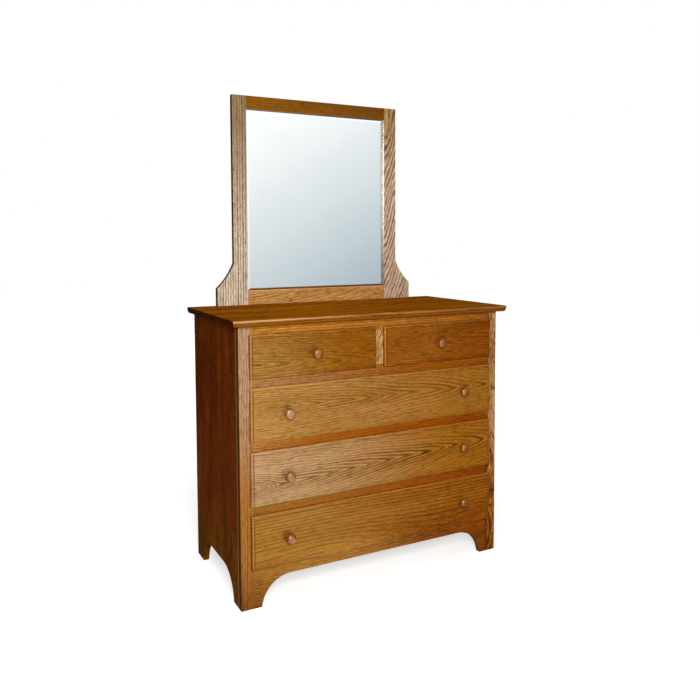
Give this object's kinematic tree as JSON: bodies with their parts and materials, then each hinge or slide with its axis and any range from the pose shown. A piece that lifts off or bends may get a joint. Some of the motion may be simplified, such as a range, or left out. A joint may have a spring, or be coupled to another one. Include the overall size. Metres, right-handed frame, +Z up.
{
  "type": "dresser with mirror",
  "caption": "Oak dresser in the Shaker manner: small drawers over wide ones on lipped fronts, arched apron and sides, overhanging top and a fixed framed mirror.",
  "frame": {"origin": "middle of the footprint's box, on the floor", "axes": "+X to the right of someone facing the drawers, -Y towards that person, +Z up"},
  "size_m": [0.98, 0.502, 1.593],
  "materials": {
    "drawer_front_oak": "stained oak under a satin lacquer, open grain running across",
    "rail_oak": "stained oak under a satin lacquer, grain running across",
    "stile_oak": "paler stained oak under a satin lacquer, straight upright grain",
    "side_oak": "stained oak under a satin lacquer, upright grain",
    "top_oak": "stained oak under a satin lacquer, grain running across",
    "post_oak": "paler stained oak under a satin lacquer, upright grain",
    "mirror_rail_oak": "stained oak under a satin lacquer, grain running across",
    "knob_oak": "turned oak under a glossier lacquer",
    "drawer_box_wood": "pale hardwood under a thin clear finish",
    "inner_wood": "bare planed hardwood",
    "plywood": "plain plywood",
    "mirror_glass": "silvered plate glass with a wide polished bevel",
    "steel": "plain rolled steel strap"
  },
  "bodies": {
    "case": {"back_panel": "plywood", "glue_blocks": "inner_wood", "kickers": "inner_wood", "mirror_backing": "plywood", "mirror_glass": "mirror_glass", "mirror_post_left": "post_oak", "mirror_post_right": "post_oak", "mirror_rail_bottom": "mirror_rail_oak", "mirror_rail_top": "mirror_rail_oak", "mirror_retainers": "inner_wood", "mirror_straps": "steel", "rail_apron": "rail_oak", "rail_lower": "rail_oak", "rail_middle": "rail_oak", "rail_top": "rail_oak", "rail_upper": "rail_oak", "rear_rail_bottom": "inner_wood", "rear_rail_middle": "inner_wood", "rear_rail_top": "inner_wood", "runners_bottom": "inner_wood", "runners_lower": "inner_wood", "runners_middle": "inner_wood", "runners_small": "inner_wood", "side_panel_left": "side_oak", "side_panel_right": "side_oak", "stile_centre": "stile_oak", "stile_left": "stile_oak", "stile_right": "stile_oak", "top_board": "top_oak"},
    "drawer_bottom": {"drawer_bottom_back": "drawer_box_wood", "drawer_bottom_bottom": "plywood", "drawer_bottom_front": "drawer_front_oak", "drawer_bottom_knobs": "knob_oak", "drawer_bottom_side_left": "drawer_box_wood", "drawer_bottom_side_right": "drawer_box_wood"},
    "drawer_lower": {"drawer_lower_back": "drawer_box_wood", "drawer_lower_bottom": "plywood", "drawer_lower_front": "drawer_front_oak", "drawer_lower_knobs": "knob_oak", "drawer_lower_side_left": "drawer_box_wood", "drawer_lower_side_right": "drawer_box_wood"},
    "drawer_upper": {"drawer_upper_back": "drawer_box_wood", "drawer_upper_bottom": "plywood", "drawer_upper_front": "drawer_front_oak", "drawer_upper_knobs": "knob_oak", "drawer_upper_side_left": "drawer_box_wood", "drawer_upper_side_right": "drawer_box_wood"},
    "drawer_small_left": {"drawer_small_left_back": "drawer_box_wood", "drawer_small_left_bottom": "plywood", "drawer_small_left_front": "drawer_front_oak", "drawer_small_left_knob": "knob_oak", "drawer_small_left_side_left": "drawer_box_wood", "drawer_small_left_side_right": "drawer_box_wood"},
    "drawer_small_right": {"drawer_small_right_back": "drawer_box_wood", "drawer_small_right_bottom": "plywood", "drawer_small_right_front": "drawer_front_oak", "drawer_small_right_knob": "knob_oak", "drawer_small_right_side_left": "drawer_box_wood", "drawer_small_right_side_right": "drawer_box_wood"}
  },
  "joints": [
    {"name": "drawer_bottom_slide", "type": "slide", "parent": "case", "child": "drawer_bottom", "axis": [0, -1, 0], "range_m": [0, 0.32]},
    {"name": "drawer_lower_slide", "type": "slide", "parent": "case", "child": "drawer_lower", "axis": [0, -1, 0], "range_m": [0, 0.32]},
    {"name": "drawer_upper_slide", "type": "slide", "parent": "case", "child": "drawer_upper", "axis": [0, -1, 0], "range_m": [0, 0.32]},
    {"name": "drawer_small_left_slide", "type": "slide", "parent": "case", "child": "drawer_small_left", "axis": [0, -1, 0], "range_m": [0, 0.32]},
    {"name": "drawer_small_right_slide", "type": "slide", "parent": "case", "child": "drawer_small_right", "axis": [0, -1, 0], "range_m": [0, 0.32]}
  ]
}
